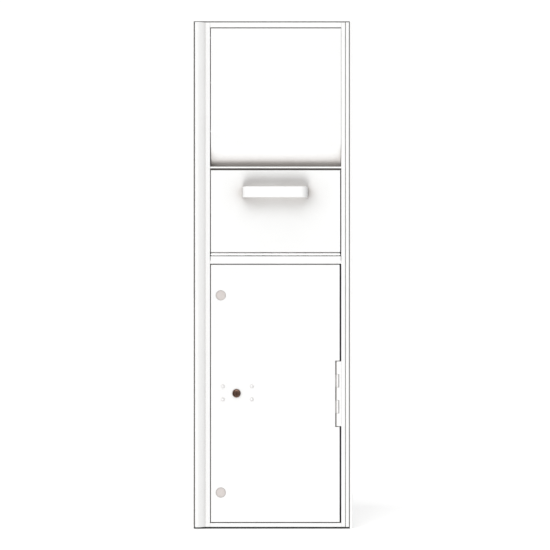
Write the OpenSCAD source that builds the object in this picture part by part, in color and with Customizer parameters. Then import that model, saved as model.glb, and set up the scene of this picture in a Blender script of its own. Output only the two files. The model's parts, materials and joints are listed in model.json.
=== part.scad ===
// Parcel drop box: a tall unit recessed in a wall. Parcels go in through a
// hopper door that tips outwards and are collected through a locked lower door.
// Frame: x to the right seen from the front, y into the wall, z up.
// x = 0 is the middle of the trim, y = 0 the wall face and z = 0 the lowest edge.

/* [Overall] */
// Width over the trim
overall_w = 424; // [422:1:428]
// Height over the trim
overall_h = 1352.6; // [1350:0.1:1356]
// Width of the cabinet that goes into the wall
cabinet_w = 380; // [379:0.5:380]
// Depth of the cabinet behind the wall face
cabinet_d = 416; // [380:1:440]
// Thickness of the folded sheet
sheet = 2; // [1.8:0.1:2.2]

/* [Front frame] */
// How far the doors stand in front of the wall
face_out = 8; // [8:0.5:9]
// How far the ridge of the left trim stands in front of the wall
ridge_out = 16; // [14:0.5:18]
// Left edge of the door opening, from the middle
opening_left = 167.2; // [166.8:0.1:167.6]
// Right edge of the door opening, from the middle
opening_right = 182.4; // [182:0.1:182.8]
// Height of the middle rail's lower edge
mid_rail_z = 706; // [705.5:0.1:707]
// Height of the middle rail itself
mid_rail_h = 20.2; // [19.5:0.1:20.4]
// Depth of the stiles from the wall face inwards
stile_back = 22; // [20:0.5:23]

/* [Upper panel] */
// Top of the hopper ledge, where the upper panel lands
ledge_top = 965; // [964:0.5:966]
// Height of the visible edge of the ledge
ledge_edge = 4.6; // [4:0.2:5]
// Radius of the panel's rolled foot
roll_r = 104; // [78:1:110]
// Height of the rolled foot above the ledge
roll_h = 71; // [60:1:75]

/* [Hopper] */
// Lowest edge of the hopper door
hopper_low = 737; // [736.8:0.1:737.4]
// Top edge of the hopper door
hopper_high = 955.3; // [950:0.1:955.6]
// Radius of the side cheeks about the hinge
cheek_r = 205; // [190:1:208]
// Radius that the tip of the tray reaches
tray_r = 216; // [212:0.5:216]
// Slope of the tray when the hopper is shut, in degrees
tray_slope = 25; // [20:1:28]
// Inner radius of the shroud behind the tray
shroud_r = 219; // [218.5:0.5:220]

/* [Lower door] */
// Lowest edge of the lower door
door_low = 17.8; // [17:0.1:18.5]
// Top edge of the lower door
door_high = 703.6; // [700:0.1:704]
// Lower end of the notch for the hinge
notch_low = 271.7; // [250:0.1:280]
// Length of the notch for the hinge
notch_h = 175.9; // [150:0.1:180]

/* [Hinges] */
// Outer radius of both hinges' knuckles
knuckle_r = 4.2; // [4:0.1:4.4]
// Radius of both hinge pins
hinge_pin_r = 2; // [1.8:0.1:2.2]
// Radial clearance of a knuckle on its pin
running_gap = 0.05; // [0.02:0.01:0.1]
// Number of knuckles of the hopper hinge
hopper_knuckles = 15; // [11:2:19]
// Number of knuckles of the lower door hinge
door_knuckles = 5; // [3:2:7]

/* [Handle] */
// Middle of the handle, from the middle of the trim
handle_x = 6.6; // [0:0.1:12]
// Height of the middle of the handle
handle_z = 895.5; // [880:0.5:910]
// Width over the legs
handle_w = 174.4; // [150:0.2:200]
// Height of the handle strip
handle_h = 29; // [20:1:32]
// How far the handle stands out from the door
handle_out = 42; // [36:1:46]
// Thickness of the handle strip
handle_t = 5; // [4:0.5:6]
// Outer radius of the handle's corners
handle_corner = 20; // [14:1:24]

/* [Lock] */
// Middle of the lock cylinder, left of the middle of the trim
lock_x = 96.7; // [96:0.1:97.4]
// Height of the lock cylinder
lock_z = 361; // [360.4:0.1:361.6]
// Radius of the lock's bezel
bezel_r = 10.8; // [10:0.1:12]
// Travel of the slide bolt
bolt_throw = 14; // [13:0.5:14]

/* [Fixings] */
// Radius of the anchor holes in the cabinet's sides
anchor_r = 4; // [3:0.5:5]
// Radius of the dome rivet heads round the lock
rivet_head_r = 4.5; // [4:0.1:5]
// Radius of the round hole plugs
plug_r = 12.9; // [12:0.1:13]

/* [Hidden] */
$fn = 64;
eps = 0.01;

// Clearance of a hole round its screw, pin or barrel
hole_gap = 0.1;

// Planes of the front
front_y = -face_out;
skin_back = front_y + sheet;
flange_t = 3;
flange_front = -flange_t;
rim_y = front_y;

// Trim: x positions along the front, from the left to the right
half_w = overall_w / 2;
left_rim_w = 2;
right_rim_w = 7;
top_rim_h = 1;
seal_left = -half_w + left_rim_w;
seal_right = half_w - right_rim_w;
left_seal_w = 2.4;
right_seal_w = 1.6;
top_seal_h = 2.4;
bottom_seal_h = 4.8;
trim_low = bottom_seal_h + 0.4;
trim_high = overall_h - top_rim_h - top_seal_h;
ridge_left = seal_left + left_seal_w + 0.2;
ridge_right = -193.7;
ridge_corner = 2.5;
left_stile_x = -180;
right_stile_x = 193.1;
right_strip = [194.3, 203.3];
right_strip_out = 9.5;

// Cabinet
cab_x = cabinet_w / 2;
cab_in = cab_x - sheet;
cab_low = 13;
cab_high = overall_h - 16;
leg_t = 1.5;
leg_d = 14;
fold_w = 16;
top_rail_low = overall_h - 16.9;
bottom_rail_high = 15.5;

// Anchor holes in the cabinet's sides
anchor_y = [50, 350];
anchor_z = [150, 1200];

// Hinge axes
hinge_y = front_y + knuckle_r;
hopper_axis_z = 731.4;
door_axis_x = 172.9;
leaf_t = 1.8;
knuckle_gap = 0.4;
sweep_gap = 0.5;

// Hopper
hopper_x = [-165.2, 179.8];
pan_back = 10;
pan_corner = 1.5;
cheek_in = [hopper_x[0] + 2 * sheet, hopper_x[1] - 2 * sheet];
tray_bend_y = 30;
tray_z = hopper_low + sheet;
stop_r = 190;
stop_angle = 54.5;
stop_pin_r = 4;
sleeve_r = 5.3;
shroud_from = 7;
shroud_to = 75;

// Upper panel
panel_x = [-165.2, 181.9];
panel_high = top_rail_low - 2.4;
roll_z = ledge_top + roll_h;
roll_y = front_y + roll_r;
roll_angle = asin(roll_h / roll_r);
panel_fold = 16;

// Lower door
door_x = [-165.1, 178.2];
door_back = 12;
notch_x = 166.6;
notch = [notch_low, notch_low + notch_h];
plug_x = -138.5;
plug_z = [96.7, 622];
plug_gap = 0.35;
plug_set_in = 0.6;
plug_flange = 3;
plug_flange_t = 1.4;
stiffener_z = [190, 550];
stiffener_x = [-120, 150];
hat_h = 12;
hat_t = 1.5;
hat_in = 14;
hat_foot = 26;
stop_gap_z = [320, 405];

// Lock
case_x = -94.4;
case_z = 362.3;
case_w = 92;
case_h = 48;
case_back = 28;
rivet_dx = 38.5;
rivet_dz = 17.3;
lock_rivet_r = 2.4;
lock_rivet_hole_r = 2.5;
lock_rivet_head_h = 2.6;
bolt_y = [22.6, 27.6];
bolt_z = [lock_z - 16, lock_z + 8];
bolt_tip = -163;
bolt_end = -60;
crank_r = bolt_throw / sqrt(2);
crank_y = [16, 18.5];
finger_r = 2.2;
plug_body_r = 6.25;
barrel_r = 9;
barrel_hole_r = 9.2;
barrel_length = 22;
bezel_out = 2.4;
bezel_edge = 1.4;
nut_r = 13;
nut_h = 4;
keyway = [1.6, 7.8];
keyway_depth = 8;
crank_hub_r = 12;
bolt_gap = 0.3;
finger_gap = 0.7;

// ---- Building blocks ----

// Box between [low, high] pairs along x, y and z
module slab(x, y, z)
    translate([x[0], y[0], z[0]])
        cube([x[1] - x[0], y[1] - y[0], z[1] - z[0]]);

// Rectangle between [low, high] pairs
module rect(u, v)
    translate([u[0], v[0]])
        square([u[1] - u[0], v[1] - v[0]]);

// Rectangle with rounded corners
module round_rect(u, v, r) {
    rect([u[0] + r, u[1] - r], v);
    rect(u, [v[0] + r, v[1] - r]);
    for (a = [u[0] + r, u[1] - r], b = [v[0] + r, v[1] - r])
        translate([a, b])
            circle(r);
}

// A (y, z) outline drawn out along x
module along_x(x)
    translate([x[0], 0, 0])
        rotate([90, 0, 90])
            linear_extrude(x[1] - x[0])
                children();

// An (x, z) outline drawn out along y
module along_y(y)
    translate([0, y[1], 0])
        rotate([90, 0, 0])
            linear_extrude(y[1] - y[0])
                children();

// An (x, y) outline drawn out along z
module along_z(z)
    translate([0, 0, z[0]])
        linear_extrude(z[1] - z[0])
            children();

// Round bar along x, y or z
module bar_x(r, x, y, z)
    translate([x[0], y, z])
        rotate([0, 90, 0])
            cylinder(r = r, h = x[1] - x[0]);

module bar_y(r, x, y, z)
    translate([x, y[0], z])
        rotate([-90, 0, 0])
            cylinder(r = r, h = y[1] - y[0]);

module bar_z(r, x, y, z)
    translate([x, y, z[0]])
        cylinder(r = r, h = z[1] - z[0]);

// Dome-headed rivet along +z: the head lies below z = 0 and the shank goes up through the grip
module dome_rivet(head_r, head_h, shank_r, grip) {
    ball_r = (head_r * head_r + head_h * head_h) / (2 * head_h);
    intersection() {
        translate([0, 0, ball_r - head_h])
            sphere(ball_r);
        translate([0, 0, -head_h])
            cylinder(r = head_r, h = head_h);
    }
    cylinder(r = shank_r, h = grip);
    translate([0, 0, grip])
        cylinder(r = 1.5 * shank_r, h = 0.6 * shank_r);
}

// Ring sector in the (y, z) plane about the hopper axis; angles from +z towards +y
module hopper_sector(r_in, r_out, from, to) {
    steps = 8;
    reach = 2 * r_out;
    translate([hinge_y, hopper_axis_z])
        difference() {
            intersection() {
                circle(r_out, $fn = 180);
                polygon(concat([[0, 0]], [
                    for (i = [0 : steps])
                        let (a = from + (to - from) * i / steps)
                            [reach * sin(a), reach * cos(a)]
                ]));
            }
            circle(r_in, $fn = 180);
        }
}

// Lower edge of one knuckle of a hinge with n knuckles from low to high
function knuckle_at(low, high, n, i) = low + (high - low) * i / n;

// ---- Trim and front frame ----

// Flat frame against the wall, with an outer rim and a leg round the cabinet
module wall_flange()
    color("white") {
        leg_x = cab_x + leg_t;
        leg_z = [cab_low - leg_t, cab_high + leg_t];
        along_y([flange_front, 0])
            difference() {
                rect([-half_w, half_w], [0, overall_h]);
                rect([-cab_x, cab_x], [cab_low, cab_high]);
            }
        along_y([rim_y, flange_front])
            difference() {
                rect([-half_w, half_w], [0, overall_h]);
                rect([seal_left, seal_right], [-1, overall_h - top_rim_h]);
            }
        difference() {
            along_y([0, leg_d])
                difference() {
                    rect([-leg_x, leg_x], leg_z);
                    rect([-cab_x, cab_x], [cab_low, cab_high]);
                }
            for (z = frame_rivet_z)
                bar_x(rivet_hole_r, [-half_w, half_w], frame_rivet_y, z);
        }
    }

// Black bead in the groove inside the rim
module sealing_bead()
    color("black")
        along_y([flange_front - 3.5, flange_front])
            difference() {
                rect([seal_left + 0.1, seal_right - 0.1], [0.4, overall_h - top_rim_h - 0.1]);
                rect(
                    [seal_left + left_seal_w, seal_right - right_seal_w],
                    [bottom_seal_h, overall_h - top_rim_h - top_seal_h + 0.1]
                );
            }

// Hollow trim with a raised ridge and a slope down to the stile
module left_trim()
    color("white")
        along_z([trim_low, trim_high])
            difference() {
                polygon([
                    [ridge_left, flange_front],
                    [ridge_left, ridge_corner - ridge_out],
                    [ridge_left + ridge_corner, -ridge_out],
                    [ridge_right, -ridge_out],
                    [left_stile_x, front_y],
                    [left_stile_x, flange_front]
                ]);
                polygon([
                    [ridge_left + sheet, flange_front - sheet],
                    [ridge_left + sheet, ridge_corner - ridge_out + 1],
                    [ridge_left + ridge_corner + 1, sheet - ridge_out],
                    [ridge_right - 0.5, sheet - ridge_out],
                    [left_stile_x - sheet, front_y + 1],
                    [left_stile_x - sheet, flange_front - sheet]
                ]);
            }

// Narrow hollow strip beside the right stile
module right_trim()
    color("white")
        along_z([trim_low, trim_high])
            difference() {
                polygon([
                    [right_strip[0], flange_front],
                    [right_strip[0], 1 - right_strip_out],
                    [right_strip[0] + 1, -right_strip_out],
                    [right_strip[1] - 1, -right_strip_out],
                    [right_strip[1], 1 - right_strip_out],
                    [right_strip[1], flange_front]
                ]);
                rect(
                    [right_strip[0] + sheet, right_strip[1] - sheet],
                    [sheet - right_strip_out, flange_front - 1]
                );
            }

// The front row of rivets goes through the flange leg, the cabinet's side and the stile leg
frame_rivet_y = 7;
rivet_r = 2;
rivet_hole_r = 2.1;
frame_rivet_z = [60, 370, 680, 990, 1290];

// Folded stile: web in the door plane, returns, and a leg against the cabinet's side
module left_stile()
    color("white") {
        along_z([trim_low, trim_high])
            rect([left_stile_x, -opening_left], [front_y, skin_back]);
        difference() {
            along_z([cab_low + sheet, cab_high - sheet]) {
                rect([left_stile_x, left_stile_x + sheet], [skin_back, pan_back]);
                rect([-opening_left - sheet, -opening_left], [skin_back, stile_back]);
                rect([-cab_in, -opening_left], [stile_back - sheet, stile_back]);
                rect([-cab_in, -cab_in + sheet], [1, stile_back - sheet]);
            }
            for (z = frame_rivet_z)
                bar_x(rivet_hole_r, [-half_w, left_stile_x - 1], frame_rivet_y, z);
            for (z = panel_screw_z)
                bar_x(panel_screw_r + hole_gap, [-opening_left - sheet - 1, 0], panel_screw_y, z);
        }
    }

module right_stile()
    color("white") {
        along_z([trim_low, trim_high])
            rect([opening_right, right_stile_x], [front_y, skin_back]);
        difference() {
            along_z([cab_low + sheet, cab_high - sheet]) {
                rect([opening_right, opening_right + sheet], [skin_back, stile_back]);
                rect([cab_in - sheet, cab_in], [skin_back, stile_back]);
            }
            for (z = frame_rivet_z)
                bar_x(rivet_hole_r, [opening_right + 3, half_w], frame_rivet_y, z);
            for (z = panel_screw_z)
                bar_x(panel_screw_r + hole_gap, [0, opening_right + sheet + 0.5], panel_screw_y, z);
        }
    }

// Channel rail between the stiles: web at the front and two returns
module rail(z, lower_back, upper_back)
    along_x([-opening_left, opening_right]) {
        rect([front_y, skin_back], z);
        rect([skin_back, lower_back], [z[0], z[0] + sheet]);
        rect([skin_back, upper_back], [z[1] - sheet, z[1]]);
    }

module top_rail()
    color("white")
        rail([top_rail_low, trim_high], flange_front, flange_front);

module bottom_rail()
    color("white")
        rail([trim_low, bottom_rail_high], flange_front, -0.5);

// The middle rail's web stops short of the stiles near its top corners
module middle_rail()
    color("white") {
        top = mid_rail_z + mid_rail_h;
        slot_w = 1.2;
        slot_h = 11.6;
        difference() {
            rail([mid_rail_z, top], stile_back, stile_back);
            for (x = [-opening_left, opening_right - slot_w])
                slab([x - eps, x + slot_w + eps], [front_y - 1, skin_back], [top - slot_h, top + 1]);
        }
    }

// Shelf above the hopper door: visible edge, plate, and a lip that carries the bumpers
module hopper_ledge()
    color("white")
        along_x([-opening_left, opening_right]) {
            rect([front_y, skin_back], [ledge_top - ledge_edge, ledge_top]);
            rect([front_y, 60], [ledge_top - sheet, ledge_top]);
            rect([pan_back + 2, pan_back + 2 + sheet], [hopper_high - 10, ledge_top]);
        }

// Band that follows the upper panel, between two depths behind its front face
module panel_band(depth) {
    rect([front_y + depth[0], front_y + depth[1]], [roll_z, panel_high]);
    translate([roll_y, roll_z])
        intersection() {
            difference() {
                circle(roll_r - depth[0], $fn = 180);
                circle(roll_r - depth[1], $fn = 180);
            }
            polygon([
                [0, 0],
                [-2 * roll_r, 0],
                [-2 * roll_r, -2 * roll_r * tan(roll_angle)]
            ]);
        }
}

// Fixed panel: flat, then rolled back onto the ledge, with folded sides and top
module upper_panel()
    color("white")
        difference() {
            union() {
                along_x(panel_x)
                    panel_band([0, sheet]);
                for (x = [panel_x[0], panel_x[1] - sheet])
                    along_x([x, x + sheet])
                        panel_band([sheet - eps, panel_fold]);
                slab(panel_x, [skin_back, front_y + panel_fold], [panel_high - sheet, panel_high]);
            }
            for (z = panel_screw_z)
                bar_x(panel_screw_r + hole_gap, [-half_w, half_w], panel_screw_y, z);
        }

// Screws that hold the upper panel's folds to the stiles
panel_screw_z = [1060, 1190, 1310];
panel_screw_y = 2;
panel_screw_r = 2;
panel_screw_head_r = 3.8;
panel_screw_head_h = 2.4;
module panel_screws()
    color("silver")
        for (z = panel_screw_z) {
            left = panel_x[0] + sheet;
            right = panel_x[1] - sheet;
            bar_x(panel_screw_r, [-opening_left - sheet - 3, left + 1], panel_screw_y, z);
            bar_x(panel_screw_head_r, [left, left + panel_screw_head_h], panel_screw_y, z);
            bar_x(panel_screw_r, [right - 1, opening_right + sheet + 0.4], panel_screw_y, z);
            bar_x(panel_screw_head_r, [right - panel_screw_head_h, right], panel_screw_y, z);
        }

// ---- Cabinet ----

// Rivet rows lie this far in from a fold
rivet_in = 9;
side_rivet_z = [90, 350, 676, 1000, 1260];
cap_rivet_y = [90, 210, 330];
back_rivet_y = cabinet_d - sheet - rivet_in;
cabinet_rivet_head_r = 4;
cabinet_rivet_head_h = 1.6;

// Every rivet along the cabinet's sides, as [y, z]
function side_rivets() = concat(
    [for (z = frame_rivet_z) [frame_rivet_y, z]],
    [for (z = side_rivet_z) [back_rivet_y, z]],
    [for (y = cap_rivet_y) [y, cab_low + sheet + rivet_in]],
    [for (y = cap_rivet_y) [y, cab_high - sheet - rivet_in]]
);

module cabinet_side(x)
    color("white")
        difference() {
            slab(x, [0, cabinet_d], [cab_low, cab_high]);
            for (p = side_rivets())
                bar_x(rivet_hole_r, [x[0] - 1, x[1] + 1], p[0], p[1]);
            for (y = anchor_y, z = anchor_z)
                bar_x(anchor_r, [x[0] - 1, x[1] + 1], y, z);
        }

module cabinet_left_side()
    cabinet_side([-cab_x, -cab_in]);

module cabinet_right_side()
    cabinet_side([cab_in, cab_x]);

// Top or floor: a plate with a fold along each side, towards +z or -z
module cabinet_cap(z, fold_z, rivet_z)
    color("white")
        difference() {
            union() {
                slab([-cab_in, cab_in], [0, cabinet_d - sheet], z);
                for (x = [-cab_in, cab_in - sheet])
                    slab([x, x + sheet], [stile_back + 30, cabinet_d - 30], fold_z);
            }
            for (y = cap_rivet_y)
                bar_x(rivet_hole_r, [-half_w, half_w], y, rivet_z);
        }

module cabinet_top() {
    low = cab_high - sheet;
    cabinet_cap([low, cab_high], [low - fold_w, low], low - rivet_in);
}

module cabinet_floor() {
    high = cab_low + sheet;
    cabinet_cap([cab_low, high], [high, high + fold_w], high + rivet_in);
}

module cabinet_back()
    color("white")
        difference() {
            union() {
                slab([-cab_in, cab_in], [cabinet_d - sheet, cabinet_d], [cab_low, cab_high]);
                for (x = [-cab_in, cab_in - sheet])
                    slab(
                        [x, x + sheet],
                        [cabinet_d - sheet - fold_w, cabinet_d - sheet],
                        [cab_low + 20, cab_high - 20]
                    );
            }
            for (z = side_rivet_z)
                bar_x(rivet_hole_r, [-half_w, half_w], back_rivet_y, z);
        }

// Rivets from outside through each side; the front row also holds the flange leg
module cabinet_rivets()
    color("silver")
        for (side = [-1, 1], p = side_rivets()) {
            front_row = p[0] == frame_rivet_y;
            outer = cab_x + (front_row ? leg_t : 0);
            grip = outer - cab_in + sheet;
            translate([side * outer, p[0], p[1]])
                rotate([0, -90 * side, 0])
                    dome_rivet(cabinet_rivet_head_r, cabinet_rivet_head_h, rivet_r, grip);
        }

// ---- Hopper surround ----

// Curved baffle behind the tray, hung from the ledge
module hopper_shroud()
    color("white")
        along_x([sheet - cab_in, cab_in - sheet]) {
            hopper_sector(shroud_r, shroud_r + sheet, shroud_from, shroud_to);
            y = hinge_y + shroud_r * sin(shroud_from);
            z = hopper_axis_z + shroud_r * cos(shroud_from);
            rect([y, y + sheet], [z, ledge_top - sheet]);
        }

// One leaf of the hopper hinge. keep 0 takes the even knuckles and keep 1 the odd ones.
module hopper_leaf(keep, leaf_z) {
    x0 = hopper_x[0] + 1;
    x1 = hopper_x[1] - 1;
    n = hopper_knuckles;
    function edge(i) = knuckle_at(x0, x1, n, i);
    difference() {
        union() {
            difference() {
                slab([x0, x1], [hinge_y - 1, pan_back + 4], leaf_z);
                for (i = [0 : n - 1])
                    if (i % 2 != keep)
                        bar_x(
                            knuckle_r + sweep_gap,
                            [edge(i) - knuckle_gap / 2, edge(i + 1) + knuckle_gap / 2],
                            hinge_y,
                            hopper_axis_z
                        );
            }
            for (i = [0 : n - 1])
                if (i % 2 == keep)
                    bar_x(
                        knuckle_r,
                        [edge(i) + knuckle_gap / 2, edge(i + 1) - knuckle_gap / 2],
                        hinge_y,
                        hopper_axis_z
                    );
        }
        bar_x(hinge_pin_r + running_gap, [x0 - 1, x1 + 1], hinge_y, hopper_axis_z);
    }
}

module hopper_hinge_fixed_leaf() {
    low = mid_rail_z + mid_rail_h;
    color("lightgray")
        hopper_leaf(0, [low, low + leaf_t]);
}

module hopper_hinge_moving_leaf()
    color("lightgray")
        difference() {
            hopper_leaf(1, [hopper_low - leaf_t, hopper_low]);
            for (x = tray_rivet_x)
                bar_z(rivet_hole_r, x, tray_rivet_y, [hopper_low - 3, hopper_low + 1]);
        }

module hopper_hinge_pin()
    color("silver")
        bar_x(hinge_pin_r, [hopper_x[0], hopper_x[1]], hinge_y, hopper_axis_z);

// Rubber pads on the ledge's lip, just behind the closed hopper door
bumper_x = [-120, 8, 135];
bumper_w = 22;
bumper_h = 8;
bumper_top = hopper_high - 0.5;
pad_y = [pan_back + 0.3, pan_back + 2];
module hopper_bumpers()
    color("dimgray")
        for (x = bumper_x)
            slab([x, x + bumper_w], pad_y, [bumper_top - bumper_h, bumper_top]);

// ---- Hopper ----

// Folded pan: a front skin with returns on all four edges
module hopper_door()
    color("white") {
        z = [hopper_low, hopper_high];
        inner_x = [hopper_x[0] + sheet, hopper_x[1] - sheet];
        inner_z = [z[0] + sheet, z[1] - sheet];
        difference() {
            along_y([front_y, pan_back])
                round_rect(hopper_x, z, pan_corner);
            slab(inner_x, [skin_back, pan_back + 1], inner_z);
            for (side = [-1, 1])
                bar_y(handle_screw_r + hole_gap, handle_leg_x(side), [front_y - 1, skin_back + 1], handle_z);
            for (x = tray_rivet_x)
                bar_z(rivet_hole_r, x, tray_rivet_y, [z[0] - 1, z[0] + sheet + 1]);
        }
    }

// Side cheek: sector about the hinge, cut off along the tray
module hopper_cheek(x)
    color("white")
        difference() {
            along_x(x)
                intersection() {
                    translate([hinge_y, hopper_axis_z])
                        circle(cheek_r, $fn = 180);
                    polygon([
                        [skin_back, tray_z],
                        [tray_bend_y, tray_z],
                        [tray_bend_y + cheek_r, tray_z - cheek_r * tan(tray_slope)],
                        [tray_bend_y + cheek_r, hopper_high],
                        [skin_back, hopper_high]
                    ]);
                }
            at_stop_pin()
                bar_x(stop_pin_r + hole_gap, [x[0] - 1, x[1] + 1], 0, 0);
        }

module hopper_left_cheek()
    hopper_cheek([hopper_x[0] + sheet, cheek_in[0]]);

module hopper_right_cheek()
    hopper_cheek([cheek_in[1], hopper_x[1] - sheet]);

// Tray: flat beside the door, then sloping down so that a parcel slides off behind
module hopper_tray()
    color("white")
        difference() {
            union() {
                along_x(cheek_in)
                    tray_strip(0, sheet, tray_r);
                for (x = [cheek_in[0], cheek_in[1] - sheet])
                    along_x([x, x + sheet])
                        tray_strip(sheet - eps, 12, cheek_r - 6);
            }
            for (x = tray_rivet_x)
                bar_z(rivet_hole_r, x, tray_rivet_y, [hopper_low - 1, tray_z + sheet + 1]);
        }

// Strip that follows the tray, between two heights above its underside, out to a radius
module tray_strip(low, high, reach)
    intersection() {
        translate([hinge_y, hopper_axis_z])
            circle(reach, $fn = 180);
        polygon([
            [skin_back, tray_z + low],
            [tray_bend_y, tray_z + low],
            [tray_bend_y + tray_r, tray_z + low - tray_r * tan(tray_slope)],
            [tray_bend_y + tray_r, tray_z + high - tray_r * tan(tray_slope)],
            [tray_bend_y, tray_z + high],
            [skin_back, tray_z + high]
        ]);
    }

// Rivets that join the tray, the door's lower fold and the hinge leaf
tray_rivet_x = [-140, -40, 60, 154];
tray_rivet_y = 5.5;
tray_rivet_head_r = 3.6;
tray_rivet_head_h = 1.4;
module tray_rivets()
    color("silver")
        for (x = tray_rivet_x)
            translate([x, tray_rivet_y, tray_z + sheet])
                rotate([180, 0, 0])
                    dome_rivet(tray_rivet_head_r, tray_rivet_head_h, rivet_r, 2 * sheet + leaf_t);

// Puts its children on the stop pins' line
module at_stop_pin()
    translate([0, hinge_y + stop_r * sin(stop_angle), hopper_axis_z + stop_r * cos(stop_angle)])
        children();

// Pins through the cheeks that meet the backs of the stiles when the hopper is open
stop_pin_x = [-179, 185.4];
collar_r = 6.5;
collar_t = 2;
module hopper_stop_pins()
    color("silver")
        at_stop_pin() {
            bar_x(stop_pin_r, [stop_pin_x[0], cheek_in[0] + 1], 0, 0);
            bar_x(collar_r, [cheek_in[0], cheek_in[0] + collar_t], 0, 0);
            bar_x(collar_r, [hopper_x[0] + 0.6, hopper_x[0] + sheet], 0, 0);
            bar_x(stop_pin_r, [cheek_in[1] - 1, stop_pin_x[1]], 0, 0);
            bar_x(collar_r, [cheek_in[1] - collar_t, cheek_in[1]], 0, 0);
            bar_x(collar_r, [hopper_x[1] - sheet, hopper_x[1] - 0.8], 0, 0);
        }

module stop_pin_sleeves()
    color("dimgray")
        at_stop_pin()
            for (x = [[stop_pin_x[0] + 0.6, hopper_x[0] + 0.4], [hopper_x[1] - 0.6, stop_pin_x[1]]])
                difference() {
                    bar_x(sleeve_r, x, 0, 0);
                    bar_x(stop_pin_r + 0.05, [x[0] - 1, x[1] + 1], 0, 0);
                }

// Middle of each leg of the handle
handle_screw_r = 2.5;
handle_thread_r = 2;
handle_tap_r = 2.1;
handle_screw_depth = 11;
handle_screw_head_r = 4.6;
handle_screw_head_h = 3;
function handle_leg_x(side) = handle_x + side * (handle_w - handle_t) / 2;

// Bow handle: a strip bent twice, with rounded corners
module pull_handle()
    color("white")
        difference() {
            along_z([handle_z - handle_h / 2, handle_z + handle_h / 2])
                difference() {
                    handle_outline(0, handle_corner);
                    handle_outline(handle_t, handle_corner - handle_t);
                }
            for (side = [-1, 1])
                bar_y(
                    handle_tap_r,
                    handle_leg_x(side),
                    [front_y - handle_screw_depth - 1, front_y + 1],
                    handle_z
                );
        }

// Outline of the bow seen from above, inset by some depth
module handle_outline(inset, corner) {
    x = [handle_x - handle_w / 2 + inset, handle_x + handle_w / 2 - inset];
    y = [front_y - handle_out + inset, front_y + (inset > 0 ? 1 : 0)];
    rect([x[0] + corner, x[1] - corner], y);
    rect(x, [y[0] + corner, y[1]]);
    for (a = [x[0] + corner, x[1] - corner])
        translate([a, y[0] + corner])
            circle(corner);
}

// Screws from behind the door skin into the legs
module handle_screws()
    color("silver")
        for (side = [-1, 1]) {
            x = handle_leg_x(side);
            bar_y(handle_thread_r, x, [front_y - handle_screw_depth, skin_back + 1], handle_z);
            bar_y(handle_screw_head_r, x, [skin_back, skin_back + handle_screw_head_h], handle_z);
        }

// ---- Lower door ----

// Front outline of the door, inset all round, with the notch for the hinge
module door_outline(inset, corner) {
    difference() {
        round_rect(
            [door_x[0] + inset, door_x[1] - inset],
            [door_low + inset, door_high - inset],
            corner
        );
        rect([notch_x - inset, door_x[1] + 1], [notch[0] - inset, notch[1] + inset]);
    }
}

module lower_door()
    color("white")
        difference() {
            union() {
                along_y([front_y, skin_back])
                    door_outline(0, pan_corner);
                along_y([skin_back - eps, door_back])
                    difference() {
                        door_outline(0, pan_corner);
                        door_outline(sheet, pan_corner / 3);
                    }
            }
            for (z = plug_z)
                bar_y(plug_r + plug_gap, plug_x, [front_y - 1, skin_back + 1], z);
            at_lock_rivets()
                bar_y(lock_rivet_hole_r, 0, [front_y - 1, skin_back + 1], 0);
            bar_y(barrel_hole_r, -lock_x, [front_y - 1, skin_back + 1], lock_z);
        }

// Hat channels across the back of the door
module door_stiffeners()
    color("lightgray")
        for (z = stiffener_z)
            along_x(stiffener_x)
                translate([skin_back, z]) {
                    for (w = [[-hat_foot, -hat_in], [hat_in, hat_foot]])
                        rect([0, hat_t], w);
                    for (w = [[-hat_in - hat_t, -hat_in], [hat_in, hat_in + hat_t]])
                        rect([0, hat_h], w);
                    rect([hat_h - hat_t, hat_h], [-hat_in - hat_t, hat_in + hat_t]);
                }

// Knuckle limits of the door hinge along z
notch_end_gap = 1.5;
door_leaf_t = 1.5;
barrel_sweep = 1.4;
bridge_t = 2.8;
function door_knuckle(i) =
    knuckle_at(notch[0] + notch_end_gap, notch[1] - notch_end_gap, door_knuckles, i);

// Knuckles of the door hinge whose number is even (keep 0) or odd (keep 1)
module door_knuckle_set(keep, r, grow)
    for (i = [0 : door_knuckles - 1])
        if (i % 2 == keep)
            bar_z(r, door_axis_x, hinge_y, [door_knuckle(i) - grow, door_knuckle(i + 1) + grow]);

module door_hinge_bore()
    bar_z(hinge_pin_r + running_gap, door_axis_x, hinge_y, [notch[0], notch[1]]);

// Leaf on the stile: its front covers the gap between the barrel and the stile
module door_hinge_fixed_leaf()
    color("white")
        difference() {
            union() {
                difference() {
                    along_z([door_knuckle(0), door_knuckle(door_knuckles)]) {
                        rect([door_axis_x, opening_right], [front_y, front_y + leaf_t]);
                        rect([opening_right - leaf_t, opening_right], [front_y, 14]);
                    }
                    door_knuckle_set(1, knuckle_r + barrel_sweep, knuckle_gap / 2);
                }
                door_knuckle_set(0, knuckle_r, -knuckle_gap / 2);
            }
            door_hinge_bore();
        }

// Leaf on the door's edge, with a bridge to each of its knuckles
module door_hinge_moving_leaf()
    color("white")
        difference() {
            union() {
                along_z([door_knuckle(0), door_knuckle(door_knuckles)])
                    rect([notch_x, notch_x + door_leaf_t], [hinge_y, door_back - sheet]);
                for (i = [1 : 2 : door_knuckles - 1])
                    slab(
                        [notch_x, door_axis_x - 0.79 * knuckle_r],
                        [hinge_y - bridge_t / 2, hinge_y + bridge_t / 2],
                        [door_knuckle(i) + knuckle_gap / 2, door_knuckle(i + 1) - knuckle_gap / 2]
                    );
                door_knuckle_set(1, knuckle_r, -knuckle_gap / 2);
            }
            door_hinge_bore();
        }

module door_hinge_pin()
    color("silver")
        bar_z(hinge_pin_r, door_axis_x, hinge_y, [notch[0] + 0.6, notch[1] - 0.6]);

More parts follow.
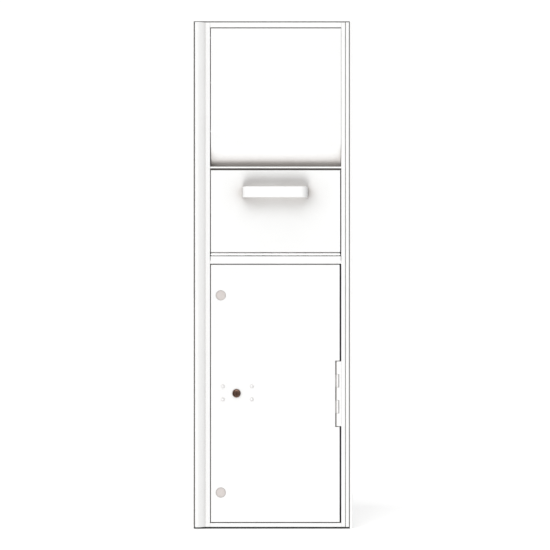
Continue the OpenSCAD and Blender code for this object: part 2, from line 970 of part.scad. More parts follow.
// Angle on the left stile that the closed door rests on, open where the bolt passes
door_stop_z = [30, 690];
door_stop_w = 17.2;
door_stop_y = [door_back + 2, door_back + 4];
door_stop_t = 1.6;
module door_stop()
    color("white")
        for (z = [[door_stop_z[0], stop_gap_z[0]], [stop_gap_z[1], door_stop_z[1]]])
            along_z(z) {
                rect([-opening_left, -opening_left + door_stop_w], door_stop_y);
                rect([-opening_left, -opening_left + door_stop_t], [door_stop_y[1], stile_back]);
            }

// Rubber pads on the stop's face
door_pad_x = [-166, -156];
door_pad_z = [60, 285, 425, 655];
door_pad_h = 22;
module door_stop_pads()
    color("dimgray")
        for (z = door_pad_z)
            slab(door_pad_x, [door_back + 0.3, door_stop_y[0]], [z, z + door_pad_h]);

// Blanking plugs set slightly below the door face
module hole_plugs()
    color("gainsboro")
        for (z = plug_z) {
            bar_y(plug_r, plug_x, [front_y + plug_set_in, skin_back + plug_flange_t], z);
            bar_y(plug_r + plug_flange, plug_x, [skin_back, skin_back + plug_flange_t], z);
        }

// ---- Lock ----

// Puts its children on each of the four rivets round the lock
module at_lock_rivets()
    for (dx = [-rivet_dx, rivet_dx], dz = [-rivet_dz, rivet_dz])
        translate([case_x + dx, 0, case_z + dz])
            children();

module lock_rivets()
    color("white")
        at_lock_rivets()
            translate([0, front_y, 0])
                rotate([-90, 0, 0])
                    dome_rivet(rivet_head_r, lock_rivet_head_h, lock_rivet_r, 2 * sheet);

// Case behind the skin: front plate and four walls, open at the back
module lock_case()
    color("silver") {
        x = [case_x - case_w / 2, case_x + case_w / 2];
        z = [case_z - case_h / 2, case_z + case_h / 2];
        difference() {
            slab(x, [skin_back, case_back], z);
            slab(
                [x[0] + sheet, x[1] - sheet],
                [skin_back + sheet, case_back + 1],
                [z[0] + sheet, z[1] - sheet]
            );
            at_lock_rivets()
                bar_y(lock_rivet_hole_r, 0, [skin_back - 1, skin_back + sheet + 1], 0);
            bar_y(barrel_hole_r, -lock_x, [skin_back - 1, skin_back + sheet + 1], lock_z);
            slab(
                [x[0] - 1, x[0] + sheet + 1],
                [bolt_y[0] - bolt_gap, bolt_y[1] + bolt_gap],
                [bolt_z[0] - bolt_gap, bolt_z[1] + bolt_gap]
            );
        }
    }

module lock_case_cover()
    color("silver")
        slab(
            [case_x - case_w / 2, case_x + case_w / 2],
            [case_back, case_back + sheet],
            [case_z - case_h / 2, case_z + case_h / 2]
        );

// Fixed cylinder: a rounded bezel on the door face and a barrel through it
module lock_cylinder()
    color("sienna")
        translate([-lock_x, front_y, lock_z])
            rotate([-90, 0, 0])
                difference() {
                    union() {
                        cylinder(r = barrel_r, h = barrel_length);
                        translate([0, 0, bezel_edge - bezel_out])
                            cylinder(r = bezel_r, h = bezel_out - bezel_edge);
                        translate([0, 0, -bezel_out])
                            cylinder(r1 = bezel_r - bezel_edge, r2 = bezel_r, h = bezel_edge);
                    }
                    translate([0, 0, -bezel_out - 1])
                        cylinder(r = plug_body_r + running_gap, h = barrel_length + bezel_out + 2);
                }

module lock_nut()
    color("silver")
        translate([-lock_x, skin_back + sheet, lock_z])
            rotate([-90, 0, 0])
                difference() {
                    cylinder(r = nut_r, h = nut_h, $fn = 6);
                    translate([0, 0, -1])
                        cylinder(r = barrel_r + hole_gap, h = nut_h + 2);
                }

// Turning plug with a keyway
module lock_plug()
    color("saddlebrown")
        difference() {
            bar_y(plug_body_r, -lock_x, [front_y - 2, crank_y[0]], lock_z);
            slab(
                [-lock_x - keyway[0] / 2, -lock_x + keyway[0] / 2],
                [front_y - bezel_out - 1, front_y + keyway_depth],
                [lock_z - keyway[1] / 2, lock_z + keyway[1] / 2]
            );
        }

// Crank on the plug's tail; its finger moves the bolt
module lock_crank()
    color("silver") {
        bar_y(crank_hub_r, -lock_x, crank_y, lock_z);
        bar_y(
            finger_r,
            -lock_x + crank_r * sin(45),
            [crank_y[0] + 1, bolt_y[1] - 0.2],
            lock_z - crank_r * cos(45)
        );
    }

// Slide bolt with a window for the crank's finger
module lock_bolt()
    color("gray")
        difference() {
            slab([bolt_tip, bolt_end], bolt_y, bolt_z);
            slab(
                [
                    -lock_x + bolt_throw / 2 - finger_r - finger_gap,
                    -lock_x + bolt_throw / 2 + finger_r + finger_gap
                ],
                [bolt_y[0] - 1, bolt_y[1] + 1],
                [
                    lock_z - crank_r - finger_r - finger_gap / 2,
                    lock_z - bolt_throw / 2 + finger_r + finger_gap / 2
                ]
            );
        }

wall_flange();
sealing_bead();
left_trim();
right_trim();
left_stile();
right_stile();
top_rail();
bottom_rail();
middle_rail();
hopper_ledge();
upper_panel();
panel_screws();
cabinet_left_side();
cabinet_right_side();
cabinet_top();
cabinet_floor();
cabinet_back();
cabinet_rivets();
hopper_shroud();
hopper_hinge_fixed_leaf();
hopper_hinge_pin();
hopper_bumpers();
door_hinge_fixed_leaf();
door_hinge_pin();
door_stop();
door_stop_pads();
hopper_door();
hopper_left_cheek();
hopper_right_cheek();
hopper_tray();
tray_rivets();
hopper_hinge_moving_leaf();
hopper_stop_pins();
stop_pin_sleeves();
pull_handle();
handle_screws();
lower_door();
door_stiffeners();
door_hinge_moving_leaf();
hole_plugs();
lock_rivets();
lock_case();
lock_case_cover();
lock_cylinder();
lock_nut();
lock_plug();
lock_crank();
lock_bolt();
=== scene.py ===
import json
import math

import bmesh
import bpy
from mathutils import Matrix, Vector


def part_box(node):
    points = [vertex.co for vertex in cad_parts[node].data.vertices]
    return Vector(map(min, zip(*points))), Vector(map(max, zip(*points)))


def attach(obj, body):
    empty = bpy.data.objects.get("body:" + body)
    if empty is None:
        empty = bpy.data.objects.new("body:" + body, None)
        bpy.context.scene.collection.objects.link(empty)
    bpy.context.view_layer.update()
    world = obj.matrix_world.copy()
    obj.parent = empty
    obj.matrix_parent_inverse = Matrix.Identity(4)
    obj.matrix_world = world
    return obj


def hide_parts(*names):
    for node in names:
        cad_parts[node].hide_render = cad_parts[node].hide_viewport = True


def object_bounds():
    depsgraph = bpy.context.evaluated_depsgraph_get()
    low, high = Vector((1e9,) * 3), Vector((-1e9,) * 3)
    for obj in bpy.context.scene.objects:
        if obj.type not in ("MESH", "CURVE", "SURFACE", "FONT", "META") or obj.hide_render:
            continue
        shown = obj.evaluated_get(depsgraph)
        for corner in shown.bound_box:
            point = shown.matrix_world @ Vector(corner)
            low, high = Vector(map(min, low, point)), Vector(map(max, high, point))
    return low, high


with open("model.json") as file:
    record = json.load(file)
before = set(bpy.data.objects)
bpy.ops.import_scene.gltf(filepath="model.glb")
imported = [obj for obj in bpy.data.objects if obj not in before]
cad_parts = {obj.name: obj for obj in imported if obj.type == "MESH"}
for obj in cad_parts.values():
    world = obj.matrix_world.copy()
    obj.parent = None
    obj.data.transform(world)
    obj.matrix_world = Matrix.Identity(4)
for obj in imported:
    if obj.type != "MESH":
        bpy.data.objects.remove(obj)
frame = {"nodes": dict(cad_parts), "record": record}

MM = 0.001
CAD_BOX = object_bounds()
RECORD = frame["record"]
BODY_OF = {node: body for body, nodes in RECORD["behaviour"]["bodies"].items() for node in nodes}
SLOT_OF = {part["node"]: part["material_slot"] for part in RECORD["subparts"]}

WELD = 0.002 * MM  # vertices closer than this are one
SHARP_TURN = 35  # degrees between two faces, from which their edge is rounded off
INWARD = (0, 1, 0)  # from the front into the wall
OUTWARD = (0, -1, 0)


# ---- Materials ----

class Finish:
    """A material under construction: adds nodes to its tree and links them."""

    def __init__(self, name, color, roughness, metallic=0.0):
        self.material = bpy.data.materials.new(name)
        self.material.use_nodes = True
        self.tree = self.material.node_tree
        self.shader = self.tree.nodes["Principled BSDF"]
        self.shader.inputs["Base Color"].default_value = (*color, 1)
        self.shader.inputs["Roughness"].default_value = roughness
        self.shader.inputs["Metallic"].default_value = metallic
        self.place = self.add("ShaderNodeTexCoord").outputs["Object"]

    def add(self, kind, links=(), **values):
        """A node of that kind. values are its properties or, with a capital letter, its sockets."""
        node = self.tree.nodes.new(kind)
        for key, value in values.items():
            if key[0].isupper():
                node.inputs[key.replace("_", " ")].default_value = value
            else:
                setattr(node, key, value)
        for socket, output in dict(links).items():
            self.tree.links.new(output, node.inputs[socket])
        return node

    def stretched(self, x, y, z):
        """The object's coordinates, scaled unevenly, for a brushed or drawn grain."""
        return self.add("ShaderNodeMapping", {"Vector": self.place}, Scale=(x, y, z)).outputs[0]

    def noise(self, size, detail, place=None):
        """Noise with features of about that size in metres."""
        links = {"Vector": place or self.place}
        return self.add("ShaderNodeTexNoise", links, Scale=1 / size, Detail=detail).outputs["Fac"]

    def spread(self, value, low, high, out_low=0.0, out_high=1.0):
        """Maps low..high to out_low..out_high, and keeps to those limits."""
        limits = {"From_Min": low, "From_Max": high, "To_Min": out_low, "To_Max": out_high}
        return self.add("ShaderNodeMapRange", {"Value": value}, **limits).outputs["Result"]

    def times(self, a, b):
        """The product of two outputs."""
        return self.add("ShaderNodeMath", {0: a, 1: b}, operation="MULTIPLY").outputs[0]

    def mixed(self, share, a, b):
        """Colour a where share is 0 and b where it is 1. Each is a colour or an output."""
        node = self.add("ShaderNodeMix", {"Factor": share}, data_type="RGBA")
        color_a, color_b, color_out = node.inputs[6], node.inputs[7], node.outputs[2]
        for socket, color in ((color_a, a), (color_b, b)):
            if isinstance(color, tuple):
                socket.default_value = (*color, 1)
            else:
                self.tree.links.new(color, socket)
        return color_out

    def edges(self, radius):
        """1 along edges that stand out and 0 on flat faces."""
        rounded = self.add("ShaderNodeBevel", Radius=radius, samples=4).outputs[0]
        true = self.add("ShaderNodeNewGeometry").outputs["Normal"]
        facing = self.add("ShaderNodeVectorMath", {0: rounded, 1: true}, operation="DOT_PRODUCT")
        return self.spread(facing.outputs["Value"], 0.995, 0.85)

    def crevice(self, distance, start=0.9, full=0.25):
        """0 in the open and 1 where the surroundings within that distance let in little light."""
        shade = self.add("ShaderNodeAmbientOcclusion", Distance=distance, samples=6, only_local=False)
        return self.spread(shade.outputs["AO"], start, full)

    def bump(self, height, depth, under=None):
        """Relief of that depth in metres, on top of another relief."""
        links = {"Height": height}
        if under:
            links["Normal"] = under
        return self.add("ShaderNodeBump", links, Distance=depth, Strength=1.0).outputs[0]

    def finish(self, color, roughness, normal):
        """Links the outputs to the shader, apart from any that is None, and gives the material."""
        for socket, output in (("Base Color", color), ("Roughness", roughness), ("Normal", normal)):
            if output:
                self.tree.links.new(output, self.shader.inputs[socket])
        return self.material


def tinted(color, *shares):
    """The colour with each channel multiplied by its share."""
    return tuple(share * channel for share, channel in zip(shares, color))


def powder_coat(name, color, roughness):
    """Sprayed and baked powder: orange peel and a fine grain, thinner and darker along the edges, partly
    as painted shade beside the gaps.

    Painted shade: near black in the gaps, and a warm grey, broken up a little by noise, where the
    surroundings shade the coat.
    """
    coat = Finish(name, color, roughness)
    peel = coat.noise(1.6 * MM, 1.0)
    grain = coat.noise(0.45 * MM, 2.0)
    cloud = coat.noise(90 * MM, 3.0)
    patches = coat.spread(coat.noise(6 * MM, 4.0), 0.3, 0.7, 0.5, 1.0)
    # Darker along the edges: a thinner coat, and partly painted shade that darkens the edges beside the
    # gaps
    thin_and_shaded_edges = coat.times(coat.edges(0.8 * MM), patches)
    thin_and_shaded_edges = coat.times(thin_and_shaded_edges, coat.spread(grain, 0.2, 0.8, 0.5, 0.9))
    # Painted shade: a warm grey where the surroundings within 70 mm shade the coat, broken up a little by
    # noise
    dust_and_painted_shade = coat.times(coat.crevice(70 * MM, 0.97, 0.7), coat.spread(cloud, 0.2, 0.8, 0.85, 1.0))
    # Painted shade: near black in the gaps and creases within 4 mm
    painted_gap_shade = coat.crevice(4 * MM, 0.7, 0.3)
    shade = coat.mixed(coat.spread(cloud, 0.3, 0.7), color, tinted(color, 0.985, 0.985, 0.985))
    shade = coat.mixed(thin_and_shaded_edges, shade, (0.40, 0.39, 0.38))
    # the warm grey of the painted shade
    shade = coat.mixed(dust_and_painted_shade, shade, tinted(color, 0.64, 0.61, 0.59))
    shade = coat.mixed(painted_gap_shade, shade, (0.04, 0.038, 0.037))
    gloss = coat.spread(coat.noise(14 * MM, 3.0), 0.3, 0.7, roughness - 0.04, roughness + 0.05)
    return coat.finish(shade, gloss, coat.bump(grain, 0.006 * MM, coat.bump(peel, 0.03 * MM)))


def white_coat():
    """White coat of the front: frame, trim, panel, doors, door hinge, handle and lock rivets."""
    return powder_coat("white_coat", (0.80, 0.80, 0.795), 0.42)


def inner_coat():
    """Greyer coat behind the front: cabinet, hopper box, shroud, door stop and stiffeners."""
    return powder_coat("inner_coat", (0.70, 0.70, 0.69), 0.5)


def zinc_steel():
    """Bright zinc plating with its crystals and a few dull patches."""
    zinc = Finish("zinc_steel", (0.62, 0.62, 0.61), 0.34, 1.0)
    crystals = zinc.add("ShaderNodeTexVoronoi", {"Vector": zinc.place}, Scale=1 / (3.5 * MM))
    tint = zinc.spread(crystals.outputs["Color"], 0.0, 1.0)
    dull = zinc.spread(zinc.noise(12 * MM, 4.0), 0.45, 0.75)
    shade = zinc.mixed(tint, (0.56, 0.57, 0.58), (0.68, 0.68, 0.66))
    shade = zinc.mixed(dull, shade, (0.50, 0.50, 0.48))
    gloss = zinc.spread(zinc.noise(2.5 * MM, 4.0), 0.3, 0.7, 0.28, 0.46)
    return zinc.finish(shade, gloss, zinc.bump(zinc.noise(0.6 * MM, 2.0), 0.008 * MM))


def hinge_steel():
    """Satin steel strip, drawn along x."""
    steel = Finish("hinge_steel", (0.66, 0.66, 0.65), 0.36, 1.0)
    drawn = steel.noise(1.0, 4.0, steel.stretched(25, 2200, 2200))
    shade = steel.mixed(steel.spread(drawn, 0.35, 0.65), (0.58, 0.58, 0.575), (0.72, 0.72, 0.71))
    gloss = steel.spread(drawn, 0.3, 0.7, 0.28, 0.44)
    return steel.finish(shade, gloss, steel.bump(drawn, 0.01 * MM))


def black_rubber():
    """Extruded rubber: matt, slightly dusty, with a fine grain."""
    rubber = Finish("black_rubber", (0.016, 0.016, 0.016), 0.75)
    dust_and_painted_shade = rubber.spread(rubber.noise(5 * MM, 5.0), 0.5, 0.8)
    shade = rubber.mixed(dust_and_painted_shade, (0.014, 0.014, 0.014), (0.035, 0.034, 0.032))
    gloss = rubber.spread(rubber.noise(1.5 * MM, 3.0), 0.3, 0.7, 0.66, 0.84)
    return rubber.finish(shade, gloss, rubber.bump(rubber.noise(0.5 * MM, 3.0), 0.02 * MM))


def plug_plastic():
    """Moulded warm grey plastic with a spark-eroded texture, and painted shade in its creases."""
    plastic = Finish("plug_plastic", (0.55, 0.51, 0.49), 0.5)
    flow = plastic.spread(plastic.noise(7 * MM, 2.0), 0.3, 0.7)
    shade = plastic.mixed(flow, (0.54, 0.50, 0.48), (0.58, 0.535, 0.515))
    # Painted shade: darker in the ring and round the rim, where the surroundings within 2 mm shade the
    # plug
    shade = plastic.mixed(plastic.crevice(2 * MM), shade, (0.30, 0.27, 0.26))
    gloss = plastic.spread(plastic.noise(0.8 * MM, 3.0), 0.3, 0.7, 0.42, 0.58)
    return plastic.finish(shade, gloss, plastic.bump(plastic.noise(0.35 * MM, 2.0), 0.012 * MM))


def lock_bronze():
    """Dark bronze finish, rubbed brighter where the key and fingers touch it."""
    bronze = Finish("lock_bronze", (0.11, 0.065, 0.048), 0.4, 0.85)
    rubbed = bronze.times(bronze.edges(0.5 * MM), bronze.spread(bronze.noise(2.5 * MM, 4.0), 0.35, 0.65))
    patina = bronze.spread(bronze.noise(1.8 * MM, 5.0), 0.35, 0.7)
    shade = bronze.mixed(patina, (0.075, 0.042, 0.031), (0.145, 0.085, 0.062))
    shade = bronze.mixed(rubbed, shade, (0.34, 0.20, 0.12))
    gloss = bronze.spread(bronze.noise(1.2 * MM, 4.0), 0.3, 0.7, 0.32, 0.5)
    return bronze.finish(shade, gloss, bronze.bump(bronze.noise(0.4 * MM, 3.0), 0.01 * MM))


def pale_floor():
    """Near-white studio floor that glows a little, so that it runs into the backdrop."""
    floor = Finish("pale_floor", (0.9, 0.9, 0.9), 0.85)
    floor.shader.inputs["Emission Color"].default_value = (1, 1, 1, 1)
    floor.shader.inputs["Emission Strength"].default_value = 0.3
    cloud = floor.spread(floor.noise(0.5, 3.0), 0.3, 0.7)
    shade = floor.mixed(cloud, (0.9, 0.9, 0.9), (0.88, 0.88, 0.88))
    return floor.finish(shade, None, floor.bump(floor.noise(0.03, 3.0), 0.1 * MM))


SLOT_MATERIALS = {
    make.__name__: make()
    for make in (white_coat, inner_coat, zinc_steel, hinge_steel, black_rubber, plug_plastic, lock_bronze)
}


# ---- Building pieces ----

def dress_nodes():
    """Gives every CAD node the material of its slot."""
    for name, obj in frame["nodes"].items():
        obj.data.materials.clear()
        obj.data.materials.append(SLOT_MATERIALS[SLOT_OF[name]])


def stand_in(shape, node, crease=40):
    """Makes an object of a bmesh, in place of a CAD node and with its body and finish."""
    mesh = bpy.data.meshes.new(node + "_made")
    bmesh.ops.recalc_face_normals(shape, faces=shape.faces)
    shape.to_mesh(mesh)
    shape.free()
    mesh.shade_smooth()
    mesh.set_sharp_from_angle(angle=math.radians(crease))
    mesh.materials.append(SLOT_MATERIALS[SLOT_OF[node]])
    piece = bpy.data.objects.new(node + "_made", mesh)
    bpy.context.scene.collection.objects.link(piece)
    even = piece.modifiers.new("even_shading", "WEIGHTED_NORMAL")
    even.keep_sharp = True
    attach(piece, BODY_OF[node])
    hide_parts(node)


def copied(node):
    """A bmesh with the CAD node's shape."""
    shape = bmesh.new()
    shape.from_mesh(frame["nodes"][node].data)
    bmesh.ops.remove_doubles(shape, verts=shape.verts, dist=WELD)
    return shape


def soften(node, radius):
    """Puts a copy whose outer edges are rounded in place of a CAD node."""
    shape = copied(node)
    bmesh.ops.dissolve_limit(
        shape, angle_limit=math.radians(0.5), verts=shape.verts, edges=shape.edges
    )
    outer = [
        edge for edge in shape.edges
        if len(edge.link_faces) == 2 and edge.calc_face_angle_signed() > math.radians(SHARP_TURN)
    ]
    bmesh.ops.bevel(
        shape, geom=outer, offset=radius, segments=2, profile=0.5,
        affect="EDGES", clamp_overlap=False, loop_slide=False,
    )
    stand_in(shape, node)


def islands(node):
    """The lowest and highest corner of each separate solid in a CAD node."""
    shape = copied(node)
    left = set(shape.verts)
    boxes = []
    while left:
        group = set()
        frontier = [left.pop()]
        while frontier:
            vert = frontier.pop()
            group.add(vert)
            found = {edge.other_vert(vert) for edge in vert.link_edges} & left
            left -= found
            frontier += found
        low, high = (
            Vector([pick(vert.co[axis] for vert in group) for axis in range(3)])
            for pick in (min, max)
        )
        boxes.append((low, high))
    shape.free()
    return sorted(boxes, key=lambda box: tuple(box[0]))


def axis_point(low, high, y):
    """The point at y on a box's middle line from front to back."""
    return Vector(((low.x + high.x) / 2, y, (low.z + high.z) / 2))


def arc(centre_r, centre_h, radius, start, end, steps=5):
    """Points (r, h) along an arc; angles in degrees from the outward direction towards +h."""
    turns = [math.radians(start + (end - start) * i / steps) for i in range(steps + 1)]
    return [(centre_r + radius * math.cos(t), centre_h + radius * math.sin(t)) for t in turns]


def bridge(shape, rings):
    """Closes the side between rings of vertices; a ring of one vertex is a tip."""
    sides = max(len(ring) for ring in rings)
    for one, two in zip(rings, rings[1:]):
        for i in range(sides):
            j = i + 1
            corners = [
                one[i % len(one)], two[i % len(two)],
                two[j % len(two)], one[j % len(one)],
            ]
            shape.faces.new(list(dict.fromkeys(corners)))


def turn(shape, profile, place, segments):
    """Adds a turned solid. profile holds (r, h) pairs; +h of it lies along place's Z."""
    rings = []
    for radius, height in profile:
        if radius == 0:
            rings.append([shape.verts.new(place @ Vector((0, 0, height)))])
            continue
        angles = [math.tau * i / segments for i in range(segments)]
        rings.append([
            shape.verts.new(place @ Vector((radius * math.cos(a), radius * math.sin(a), height)))
            for a in angles
        ])
    bridge(shape, rings)


def aimed(point, direction):
    """A placing at point whose Z lies along direction."""
    turned = Vector(direction).to_track_quat("Z", "Y").to_matrix()
    return Matrix.Translation(point) @ turned.to_4x4()


# ---- Pieces ----

# Radius of the rounded edges, and the CAD nodes that have it
ROUNDED_EDGES = {
    0.3 * MM: (
        "door_hinge_fixed_leaf", "door_hinge_moving_leaf", "hopper_hinge_fixed_leaf",
        "hopper_hinge_moving_leaf", "door_stiffeners", "wall_flange", "lock_crank",
    ),
    0.4 * MM: (
        "hopper_left_cheek", "hopper_right_cheek", "hopper_shroud", "door_stop", "lock_case_cover",
        "cabinet_left_side", "cabinet_right_side", "cabinet_top", "cabinet_floor", "cabinet_back",
        "hopper_bumpers", "door_stop_pads", "stop_pin_sleeves",
    ),
    0.5 * MM: (
        "top_rail", "bottom_rail", "middle_rail", "left_stile", "right_stile", "right_trim",
        "hopper_ledge", "upper_panel", "hopper_tray", "lock_nut", "lock_bolt", "sealing_bead",
    ),
    0.7 * MM: ("left_trim", "hopper_door", "lower_door"),
}


def handle_path(low, high, thick, corner):
    """(x, y, outward angle) along the middle of the bent strip, from leg to leg."""
    corner_steps = 12
    bend = corner - thick / 2
    path = [(low.x + thick / 2, high.y, 180)]
    for middle_x, start in ((low.x + corner, 180), (high.x - corner, 270)):
        for i in range(corner_steps + 1):
            degrees = start + 90 * i / corner_steps
            angle = math.radians(degrees)
            x = middle_x + bend * math.cos(angle)
            y = low.y + corner + bend * math.sin(angle)
            path.append((x, y, degrees))
    return path + [(high.x - thick / 2, high.y, 360)]


def make_handle():
    """Bow handle: a strip with rounded edges, bent round two corners."""
    thick, corner, edge = 5 * MM, 20 * MM, 2.1 * MM
    low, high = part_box("pull_handle")
    outline = []
    for side_r, side_z, start in ((1, 1, 0), (-1, 1, 90), (-1, -1, 180), (1, -1, 270)):
        centre_r = side_r * (thick / 2 - edge)
        centre_z = side_z * ((high.z - low.z) / 2 - edge)
        outline += arc(centre_r, centre_z, edge, start, start + 90, steps=4)
    shape = bmesh.new()
    rings = []
    for x, y, degrees in handle_path(low, high, thick, corner):
        out = Vector((math.cos(math.radians(degrees)), math.sin(math.radians(degrees)), 0))
        middle = Vector((x, y, (low.z + high.z) / 2))
        rings.append([shape.verts.new(middle + out * r + Vector((0, 0, z))) for r, z in outline])
    bridge(shape, rings)
    shape.faces.new(rings[0])
    shape.faces.new(rings[-1][::-1])
    stand_in(shape, "pull_handle", crease=50)


def make_lock_rivets():
    """Dome rivets with a small rim, painted with the door, and a flattened tail."""
    head_h, rim_w, rim_h = 2.6 * MM, 0.25 * MM, 0.35 * MM
    tail_h, tail_edge, tail_taper = 1.1 * MM, 0.3 * MM, 0.2 * MM
    shape = bmesh.new()
    for low, high in islands("lock_rivets"):
        head_r = (high.x - low.x) / 2
        shank_r, tail_r = 0.53 * head_r, 0.8 * head_r
        length = high.y - low.y
        ball_r = (head_r ** 2 + head_h ** 2) / (2 * head_h)
        half = math.degrees(math.asin((head_r - rim_w) / ball_r))
        profile = [(0, 0), *arc(0, ball_r, ball_r, -89, half - 90, steps=7)]
        profile += [(head_r, head_h - rim_h), (head_r, head_h), (shank_r, head_h)]
        profile += [(shank_r, length - tail_h - tail_taper), (tail_r, length - tail_h)]
        profile += [(tail_r, length - tail_edge), (0.85 * tail_r, length), (0, length)]
        turn(shape, profile, aimed(axis_point(low, high, low.y), INWARD), segments=40)
    stand_in(shape, "lock_rivets")


def blind_rivet_profile(length):
    """A flanged dome with the broken stem in its middle, a shank and a formed tail."""
    head_r, head_h, shank_r, tail_r = 4 * MM, 1.6 * MM, 2 * MM, 3 * MM
    stem = [(0, 0.5 * MM), (0.9 * MM, 0.55 * MM), (1.0 * MM, 0.95 * MM), (1.25 * MM, 0.95 * MM)]
    dome = [(1.35 * MM, 0.2 * MM), (1.8 * MM, 0.02 * MM), (2.7 * MM, 0.3 * MM)]
    flange = [(3.5 * MM, 0.8 * MM), (head_r, 1.25 * MM), (head_r, head_h)]
    shank = [(shank_r, head_h), (shank_r, length - 1.2 * MM)]
    tail = [(tail_r, length - 0.9 * MM), (0.85 * tail_r, length), (0, length)]
    return stem + dome + flange + shank + tail


def make_cabinet_rivets():
    """Blind rivets, driven through the cabinet's sides from outside."""
    shape = bmesh.new()
    for low, high in islands("cabinet_rivets"):
        side = 1 if low.x + high.x > 0 else -1
        outer_x = high.x if side > 0 else low.x
        head = Vector((outer_x, (low.y + high.y) / 2, (low.z + high.z) / 2))
        place = aimed(head, (-side, 0, 0))
        turn(shape, blind_rivet_profile(high.x - low.x), place, segments=24)
    stand_in(shape, "cabinet_rivets")


def make_hole_plugs():
    """Moulded plugs: a disc with a rounded rim and a shallow ring, over a wider flange."""
    flange_w, flange_t, flange_edge = 3 * MM, 1.4 * MM, 0.3 * MM
    rim, ring_r, ring_depth, dish = 0.7 * MM, 10.6 * MM, 0.3 * MM, 0.12 * MM
    ring_bottom, ring_top = 0.35 * MM, 0.7 * MM
    shape = bmesh.new()
    for low, high in islands("hole_plugs"):
        depth = high.y - low.y
        flange_r = (high.x - low.x) / 2
        disc_r = flange_r - flange_w
        profile = [(0, dish), (ring_r - ring_top, 0), (ring_r - ring_bottom, ring_depth)]
        profile += [(ring_r + ring_bottom, ring_depth), (ring_r + ring_top, 0)]
        profile += arc(disc_r - rim, rim, rim, -90, 0)
        profile += [(disc_r, depth - flange_t), (flange_r, depth - flange_t)]
        profile += [(flange_r, depth - flange_edge), (flange_r - flange_edge, depth), (0, depth)]
        turn(shape, profile, aimed(axis_point(low, high, low.y), INWARD), segments=72)
    stand_in(shape, "hole_plugs")


def make_lock_cylinder():
    """Bezel with a rolled lip and a dished face, on the barrel that goes through the door."""
    barrel_r, bore_r, lip, chamfer = 9 * MM, 6.3 * MM, 1.0 * MM, 0.4 * MM
    seat, mouth = 2.4 * MM, 1.1 * MM
    low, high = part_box("lock_cylinder")
    bezel_r = (high.x - low.x) / 2
    length = high.y - low.y
    profile = [(bore_r, mouth), (bore_r + 0.5 * MM, 0.75 * MM), (bezel_r - 2.2 * MM, 0.55 * MM)]
    profile += arc(bezel_r - lip, lip, lip, -115, 0, steps=7)
    profile += [(bezel_r, seat), (barrel_r, seat), (barrel_r, length - chamfer)]
    profile += [(barrel_r - chamfer, length), (bore_r, length), (bore_r, mouth)]
    shape = bmesh.new()
    turn(shape, profile, aimed(axis_point(low, high, low.y), INWARD), segments=72)
    bmesh.ops.remove_doubles(shape, verts=shape.verts, dist=WELD)
    stand_in(shape, "lock_cylinder")


def keyway_reach(angle):
    """Distance from the plug's axis to the keyway's wall; angle is measured from upright."""
    half_h, half_w, ward, tiny = 3.9 * MM, 0.8 * MM, 0.3 * MM, 1e-6
    along, across = math.cos(angle), math.sin(angle)
    wall = half_w + (ward if across * along > 0 else -ward)
    return min(half_h / max(abs(along), tiny), wall / max(abs(across), tiny))


def make_lock_plug():
    """Turning plug with a chamfered face and a warded keyway."""
    keyway_deep, keyway_edge, chamfer, sides = 8 * MM, 0.15 * MM, 0.35 * MM, 96
    low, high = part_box("lock_plug")
    radius = (high.x - low.x) / 2
    place = aimed(axis_point(low, high, low.y), INWARD)
    up = place.to_3x3().inverted() @ Vector((0, 0, 1))
    upright = math.atan2(up.y, up.x)
    angles = [math.tau * i / sides for i in range(sides)]
    slot = [keyway_reach(angle - upright) for angle in angles]
    levels = (
        (slot, keyway_deep), (slot, keyway_edge), ([radius - chamfer] * sides, 0),
        ([radius] * sides, chamfer), ([radius] * sides, high.y - low.y),
    )
    shape = bmesh.new()
    rings = []
    for reaches, height in levels:
        points = [(r * math.cos(a), r * math.sin(a), height) for r, a in zip(reaches, angles)]
        rings.append([shape.verts.new(place @ Vector(point)) for point in points])
    bridge(shape, rings)
    shape.faces.new(rings[0])
    shape.faces.new(rings[-1][::-1])
    stand_in(shape, "lock_plug", crease=30)


def make_handle_screws():
    """Pan head screws with a round socket, driven from inside the hopper door."""
    head_r, head_h, shank_r, rounding = 4.6 * MM, 2.6 * MM, 1.9 * MM, 1.5 * MM
    socket = [(0, 1.5 * MM), (1.3 * MM, 1.5 * MM), (1.6 * MM, 0.1 * MM), (2.2 * MM, 0)]
    head = [*arc(head_r - rounding, rounding, rounding, -90, 0, steps=4), (head_r, head_h)]
    shape = bmesh.new()
    for low, high in islands("handle_screws"):
        length = high.y - low.y
        shank = [(shank_r, head_h), (shank_r, length - 0.6 * MM), (0, length)]
        place = aimed(axis_point(low, high, high.y), OUTWARD)
        turn(shape, socket + head + shank, place, segments=32)
    stand_in(shape, "handle_screws")


dress_nodes()
for edge_radius, names in ROUNDED_EDGES.items():
    for cad_node in names:
        soften(cad_node, edge_radius)
make_handle()
make_handle_screws()
make_lock_rivets()
make_cabinet_rivets()
make_hole_plugs()
make_lock_cylinder()
make_lock_plug()


# ---- Camera, floor and light ----

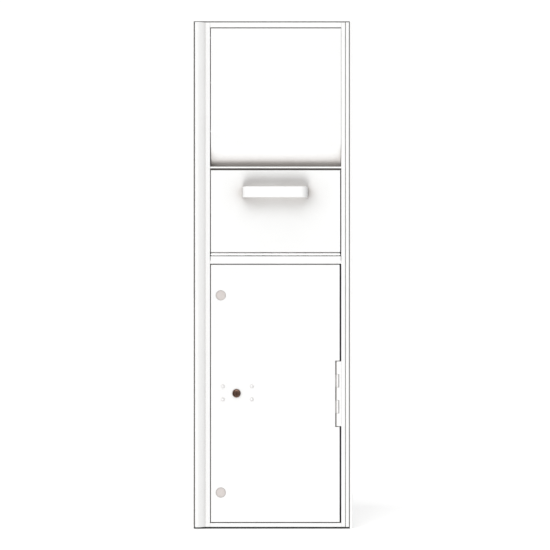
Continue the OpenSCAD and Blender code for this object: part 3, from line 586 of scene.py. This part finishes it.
def make_camera(distance, right, below, lens):
    """Looks straight at the front, from near the middle of the object's height."""
    low, high = CAD_BOX
    middle = (low + high) / 2
    data = bpy.data.cameras.new("camera")
    data.sensor_width = 36
    data.lens = lens
    camera = bpy.data.objects.new("camera", data)
    camera.location = (right, -distance, middle.z - below)
    camera.rotation_euler = (math.radians(90), 0, 0)
    bpy.context.scene.collection.objects.link(camera)
    bpy.context.scene.camera = camera


def make_floor(radius, drop):
    """Wide pale disc under the object, which casts no light or shadow on it."""
    mesh = bpy.data.meshes.new("floor")
    shape = bmesh.new()
    bmesh.ops.create_circle(shape, cap_ends=True, segments=96, radius=radius)
    shape.to_mesh(mesh)
    shape.free()
    floor = bpy.data.objects.new("floor", mesh)
    floor.location = (0, 0, CAD_BOX[0].z - drop)
    floor.data.materials.append(pale_floor())
    for rays in ("visible_shadow", "visible_diffuse", "visible_glossy"):
        setattr(floor, rays, False)
    bpy.context.scene.collection.objects.link(floor)


def add_sun(name, toward, strength, spread):
    """Soft light that travels along toward; spread is its width in degrees."""
    data = bpy.data.lights.new(name, "SUN")
    data.energy = strength
    data.angle = math.radians(spread)
    sun = bpy.data.objects.new(name, data)
    sun.rotation_mode = "QUATERNION"
    sun.rotation_quaternion = Vector(toward).to_track_quat("-Z", "Y")
    bpy.context.scene.collection.objects.link(sun)


def make_world(ambient, seen):
    """White surroundings, brighter as a backdrop than as a light."""
    world = bpy.data.worlds.new("studio")
    world.use_nodes = True
    tree = world.node_tree
    shade = tree.nodes["Background"]
    shade.inputs["Color"].default_value = (1, 1, 1, 1)
    path = tree.nodes.new("ShaderNodeLightPath")
    level = tree.nodes.new("ShaderNodeMapRange")
    level.inputs["To Min"].default_value = ambient
    level.inputs["To Max"].default_value = seen
    tree.links.new(path.outputs["Is Camera Ray"], level.inputs["Value"])
    tree.links.new(level.outputs["Result"], shade.inputs["Strength"])
    bpy.context.scene.world = world


make_camera(distance=4.0, right=5.9 * MM, below=0.2 * MM, lens=98.09)
make_floor(radius=40, drop=0.5 * MM)
add_sun("low_key", (0.10, 1.0, 0.82), 2.2, 34)
add_sun("high_key", (0.62, 1.0, -1.5), 2.45, 80)
add_sun("back_fill", (-0.35, -1.0, -0.45), 1.1, 60)
make_world(0.33, 1.05)
bpy.context.scene.view_settings.view_transform = "Standard"
